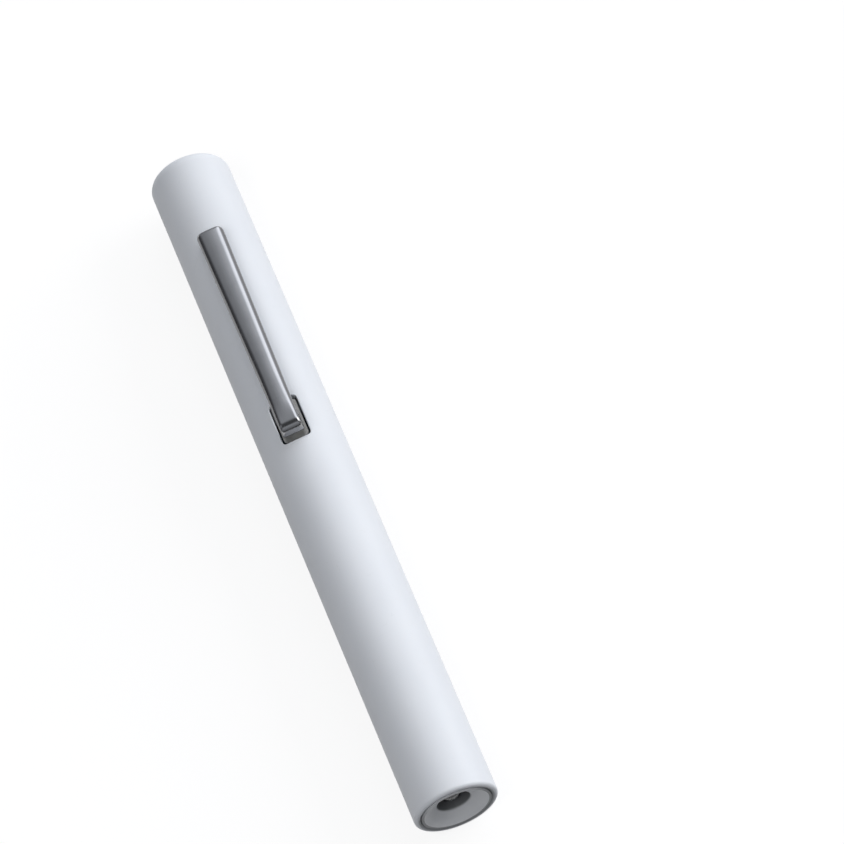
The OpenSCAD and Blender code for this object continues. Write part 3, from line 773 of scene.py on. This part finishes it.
# folded sides, rounded corners and end plate in one run of columns around the root
def addWalls(size, stations, shares, vertAt, quad):
    rootLine, rootInset = clipRoot(size)
    top, fold, corner = size["top"], size["fold"], size["cornerSteps"]

    def sideColumn(station, side):
        inset = clipInset(size, station)
        return [vertAt(station, side * (inset + out), top - down)
                for out, down in sideReach(size, *clipFold(size, station))]

    # corner and end columns go down to the saddle that follows the barrel
    def rootColumn(across, turn, side):
        saddle = math.sqrt(size["saddle"] ** 2 - (abs(across) + math.cos(turn) * fold) ** 2)
        share = math.sin(turn) ** 2
        bottom = (top - fold - size["side"]) * (1 - share) + saddle * share
        return [vertAt(rootLine - math.sin(turn) * out, across + side * math.cos(turn) * out, top - down)
                for out, down in sideReach(size, fold, top - fold - bottom)]

    turns = [quarterTurn * k / corner for k in range(1, corner + 1)]
    columns = [sideColumn(station, 1) for station in stations]
    columns += [rootColumn(rootInset, turn, 1) for turn in turns]
    columns += [rootColumn(rootInset * share, quarterTurn, -1) for share in shares[1:]]
    columns += [rootColumn(-rootInset, turn, -1) for turn in reversed(turns[:-1])]
    columns += [sideColumn(station, -1) for station in reversed(stations)]
    for first, second in zip(columns, columns[1:]):
        for k in range(size["sideSteps"]):
            quad(first[k], first[k + 1], second[k + 1], second[k])


# top between the two folds
def addTop(size, stations, shares, vertAt, quad):
    rows = [[vertAt(station, share * clipInset(size, station), size["top"]) for share in shares]
            for station in stations]
    for near, far in zip(rows, rows[1:]):
        for k in range(len(shares) - 1):
            quad(near[k], far[k], far[k + 1], near[k + 1])


# tongue below the end plate
def addTongue(size, shares, vertAt, quad):
    rootInset = clipRoot(size)[1]
    levels = [k / size["tongueSteps"] for k in range(size["tongueSteps"] + 1)]
    columns = []
    for share in shares[1:-1]:
        saddle = math.sqrt(size["saddle"] ** 2 - (rootInset * share) ** 2)
        depth = saddle - size["tongueBottom"]
        columns.append([vertAt(size["start"], rootInset * share, saddle - depth * level) for level in levels])
    for right, left in zip(columns, columns[1:]):
        for k in range(size["tongueSteps"]):
            quad(right[k], right[k + 1], left[k + 1], left[k])


# rolled tip: the outline across the tip turns about the roll axis, and its shoulders flatten on the way
def addRoll(bm, size, shares, vertAt, quad):
    tip, radius, axisUp = size["tip"], size["rollRadius"], size["top"] - size["rollRadius"]
    inset = clipInset(size, tip)
    shoulder = sideReach(size, *clipFold(size, tip))[1:]
    outline = [(inset + out, down) for out, down in reversed(shoulder)]
    outline += [(inset * share, 0) for share in shares]
    outline += [(-inset - out, down) for out, down in shoulder]
    previous = [vertAt(tip, across, size["top"] - down) for across, down in outline]
    for k in range(1, size["rollSteps"] + 1):
        angle = math.radians(size["rollTurn"]) * k / size["rollSteps"]
        bent = max(0, 1 - angle / math.radians(size["shoulderTurn"]))
        row = []
        for across, down in outline:
            reach = radius - down * bent
            spot = clipPlace(size, tip + reach * math.sin(angle), across, axisUp + reach * math.cos(angle))
            row.append(bm.verts.new(spot))
        for i in range(len(row) - 1):
            quad(previous[i], previous[i + 1], row[i + 1], row[i])
        previous = row


def thickenSheet(piece, size):
    # outside faces must look out before the sheet gets its thickness
    topLevel = (axisHeight + size["top"] - size["topBand"]) * mm
    if sum(face.normal.z for face in piece.data.polygons if face.center.z > topLevel) < 0:
        piece.data.flip_normals()
    sheet = piece.modifiers.new("sheet", "SOLIDIFY")
    sheet.thickness = size["thickness"] * mm
    sheet.offset = -1
    sheet.use_even_offset = True
    edge = piece.modifiers.new("brokenEdge", "BEVEL")
    edge.width = size["edge"] * mm
    edge.segments = size["edgeSegments"]
    edge.limit_method = "ANGLE"
    edge.angle_limit = math.radians(size["sharpAngle"])


def makeClip(size):
    bm = bmesh.new()
    vertAt, quad = sheetTools(bm, size)
    shares = clipShares(size)
    stations = (size["tip"], *size["rows"], clipRoot(size)[0])
    addWalls(size, stations, shares, vertAt, quad)
    addTop(size, stations, shares, vertAt, quad)
    addTongue(size, shares, vertAt, quad)
    addRoll(bm, size, shares, vertAt, quad)
    piece = toObject("pocketClip", bm)
    thickenSheet(piece, size)
    smoothOver(piece, size["sharpAngle"])
    weighNormals(piece)
    dress(piece, "clip", "clip_chrome", "clipChrome", "pocket_clip")
    return piece


pocketClip = makeClip(clip)
print("clip built:", len(pocketClip.data.polygons), "faces")

# tail spring with closed end turns
tailSpring = {"start": .7, "end": 7.7, "radius": 2.6, "wire": .3, "wireSides": 14, "turns": 5.0,
              "stepsPerTurn": 40, "closed": .75, "closedPitch": .64}


def makeTailSpring(size):
    low, high = size["start"] + size["wire"], size["end"] - size["wire"]
    turns, closed, pitch = size["turns"], size["closed"], size["closedPitch"]
    rise = closed * pitch
    steps = int(turns * size["stepsPerTurn"])
    path = []
    for k in range(steps + 1):
        turn = turns * k / steps
        if turn < closed:
            station = low + turn * pitch
        elif turn > turns - closed:
            station = high - (turns - turn) * pitch
        else:
            share = (turn - closed) / (turns - 2 * closed)
            station = low + rise + (high - low - 2 * rise) * share
        angle = fullTurn * turn
        path.append(place(station, size["radius"] * math.cos(angle), size["radius"] * math.sin(angle)))
    bm = bmesh.new()
    sweepWire(bm, path, size["wire"], size["wireSides"])
    piece = toObject("tailSpringCoil", bm)
    smoothOver(piece)
    dress(piece, "housing", "spring_steel", "springSteel", "tail_spring")


makeTailSpring(tailSpring)

# bulb glass with its lens, and the filament coil between the leads
bulb = {"bodyRadius": 3.7, "lensRadius": 2.45, "wall": .4, "start": 102.7, "taperStart": 108.25,
        "neckStart": 113.25, "neckWall": .4, "domeStation": 114.55, "seatRound": .35, "taperRound": 1.0,
        "neckRound": .8, "innerSeatRound": .3, "innerTaperRound": .6, "innerNeckRound": .4, "domeSteps": 16,
        "steps": 96, "filamentStation": 110.75, "filamentHalf": 1.0, "coilRadius": .09, "coilWire": .03,
        "coilTurns": 16, "coilSteps": 12, "coilSides": 8}


def makeBulbGlass(size):
    wall, body, lens = size["wall"], size["bodyRadius"], size["lensRadius"]
    start, taper, neck = size["start"], size["taperStart"], size["neckStart"]
    inner = roundedOutline([
        (0, start + wall, 0), (body - wall, start + wall, size["innerSeatRound"]),
        (body - wall, taper, size["innerTaperRound"]),
        (lens - wall, neck - size["neckWall"], size["innerNeckRound"]), (0, neck, 0)])
    angles = [quarterTurn * k / size["domeSteps"] for k in range(size["domeSteps"])]
    outer = [(lens * math.sin(angle), size["domeStation"] + lens * math.cos(angle)) for angle in angles]
    outer += roundedOutline([
        (lens, size["domeStation"], 0), (lens, neck, size["neckRound"]), (body, taper, size["taperRound"]),
        (body, start, size["seatRound"]), (0, start, 0)])
    bm = bmesh.new()
    for outline in (outer, inner):
        lathe(bm, outline, size["steps"], closed=False)
    piece = toObject("bulbLens", bm)
    smoothOver(piece)
    dress(piece, "housing", "bulb_glass", "bulbGlass", "bulb_glass")


def makeFilament(size):
    half, radius = size["filamentHalf"], size["coilRadius"]
    steps = size["coilTurns"] * size["coilSteps"]
    path = []
    for k in range(steps + 1):
        angle = fullTurn * k / size["coilSteps"]
        path.append(place(size["filamentStation"] + radius * math.sin(angle), -half + 2 * half * k / steps,
                          radius * math.cos(angle)))
    bm = bmesh.new()
    sweepWire(bm, path, size["coilWire"], size["coilSides"])
    piece = toObject("filamentCoil", bm)
    smoothOver(piece)
    dress(piece, "housing", "filament_wire", "filamentWire", "bulb_filament")


makeBulbGlass(bulb)
makeFilament(bulb)
print("spring and bulb built")

# pieces that keep their CAD shape
keptFinish = {"clip_link": "stripTinned", "contact_strip": "stripTinned", "bulb_shell": "bulbBrass",
              "bulb_insulator": "insulatorBlack", "bulb_tip": "solderGrey", "bulb_lead_live": "leadWire",
              "bulb_lead_return": "leadWire", "bulb_bead": "beadGlass"}
cellFinish = {"can": "canSteel", "jacket": "jacketFilm", "seal": "sealCard", "button": "buttonNickel",
              "plate": "buttonNickel"}
for end in ("rear", "front"):
    keptFinish.update({f"{end}_cell_{pieceName}": finish for pieceName, finish in cellFinish.items()})
for nodeName, finish in keptFinish.items():
    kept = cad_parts[nodeName]
    kept.data.materials.clear()
    kept.data.materials.append(materials[finish])
print("kept pieces finished:", len(keptFinish))

# floor and lamps
stage = {"floorSize": 14.0, "floorTone": (.22, .22, .222), "floorShade": (.21, .21, .212),
         "floorToneScale": .02, "floorToneAmount": .5, "floorRough": .9, "floorSpecular": .1,
         "floorLift": .85, "keyPower": 12.8, "keySize": (.8, 1.0), "keyFrom": (-.17, 1.38, .56),
         "fillPower": 2.55, "fillSize": (.5, .5), "fillFrom": (.24, -.38, .89)}


# the floor is white to the eye and in reflections, and throws little light back at the object
def makeFloor(look):
    half = look["floorSize"] / 2
    corners = ((-half, -half), (half, -half), (half, half), (-half, half))
    bm = bmesh.new()
    bm.faces.new([bm.verts.new((x, y, 0)) for x, y in corners])
    floor = toObject("floor", bm)
    material = bpy.data.materials.new("paperFloor")
    material.use_nodes = True
    tree = material.node_tree
    shader = tree.nodes["Principled BSDF"]
    tone = useGroup(tree, "tone", Base=opaque(look["floorTone"]), Shade=opaque(look["floorShade"]),
                    Scale=look["floorToneScale"], Amount=look["floorToneAmount"])
    tree.links.new(tone.outputs["Color"], shader.inputs["Base Color"])
    shader.inputs["Roughness"].default_value = look["floorRough"]
    shader.inputs["Specular IOR Level"].default_value = look["floorSpecular"]
    rays = addNode(tree, "ShaderNodeLightPath").outputs
    seen = maths(tree, "MAXIMUM", rays["Is Camera Ray"],
                 maths(tree, "MAXIMUM", rays["Is Glossy Ray"], rays["Is Transmission Ray"]))
    tree.links.new(maths(tree, "MULTIPLY", seen, look["floorLift"]), shader.inputs["Emission Strength"])
    shader.inputs["Emission Color"].default_value = (1, 1, 1, 1)
    floor.data.materials.append(material)


def makeSoftbox(name, power, size, origin, inGloss=True):
    light = bpy.data.lights.new(name, "AREA")
    light.shape = "RECTANGLE"
    light.size, light.size_y = size
    light.energy = power
    lamp = bpy.data.objects.new(name, light)
    lamp.location = origin
    lamp.visible_glossy = inGloss
    lamp.rotation_euler = (-lamp.location).to_track_quat("-Z", "Y").to_euler()
    bpy.context.collection.objects.link(lamp)


# room around the object: back wall brightest on the right, dim left and front walls, dark overhead
# each patch has its level, then ramps by direction: the axis, where it starts and where it is full
room = {"patches": {"backLeft": (.10, ("X", -.02, -.5), ("Y", -.62, -.36)),
                    "backMiddle": (.36, ("X", -.02, -.5), ("Y", -.45, .3)),
                    "backRight": (.85, ("X", -.02, -.5), ("Y", .02, .42)),
                    "leftWall": (.22, ("X", -.3, -.05), ("X", .35, .05), ("Y", -.3, -.6)),
                    "lowRight": (.25, ("Z", .42, .06), ("X", .3, -.1), ("Y", -.3, .4)),
                    "front": (.30, ("X", .4, .65), ("Z", .15, .45))},
        "everywhere": .06, "tint": (.97, 1.0, 1.06)}


def makeRoom(look):
    world = bpy.data.worlds.new("studioRoom")
    world.use_nodes = True
    tree = world.node_tree
    axes = splitPoint(tree, addNode(tree, "ShaderNodeTexCoord").outputs["Generated"])
    light = look["everywhere"]
    for patch, *ramps in look["patches"].values():
        for axis, start, full in ramps:
            patch = maths(tree, "MULTIPLY", remap(tree, axes[axis], start, full), patch)
        light = maths(tree, "ADD", patch, light)
    shades = {index: maths(tree, "MULTIPLY", light, share) for index, share in enumerate(look["tint"])}
    tint = addNode(tree, "ShaderNodeCombineColor", shades)
    tree.links.new(tint.outputs[0], tree.nodes["Background"].inputs["Color"])
    bpy.context.scene.world = world


view = {"place": (0.30197321, 0.03006902, 0.55402882), "turn": (26.33016, 12.49047, 68.67314),
        "lens": 176.5259, "sensor": 36}


def makeCamera(look):
    optics = bpy.data.cameras.new("photoView")
    optics.lens = look["lens"]
    optics.sensor_width = look["sensor"]
    camera = bpy.data.objects.new("photoView", optics)
    camera.location = look["place"]
    camera.rotation_euler = [math.radians(angle) for angle in look["turn"]]
    bpy.context.collection.objects.link(camera)
    bpy.context.scene.camera = camera


makeFloor(stage)
makeSoftbox("sideSoftbox", stage["keyPower"], stage["keySize"], stage["keyFrom"])
makeSoftbox("fillSoftbox", stage["fillPower"], stage["fillSize"], stage["fillFrom"], inGloss=False)
makeRoom(room)
makeCamera(view)
bpy.context.scene.view_settings.view_transform = "Standard"
print("stage set")
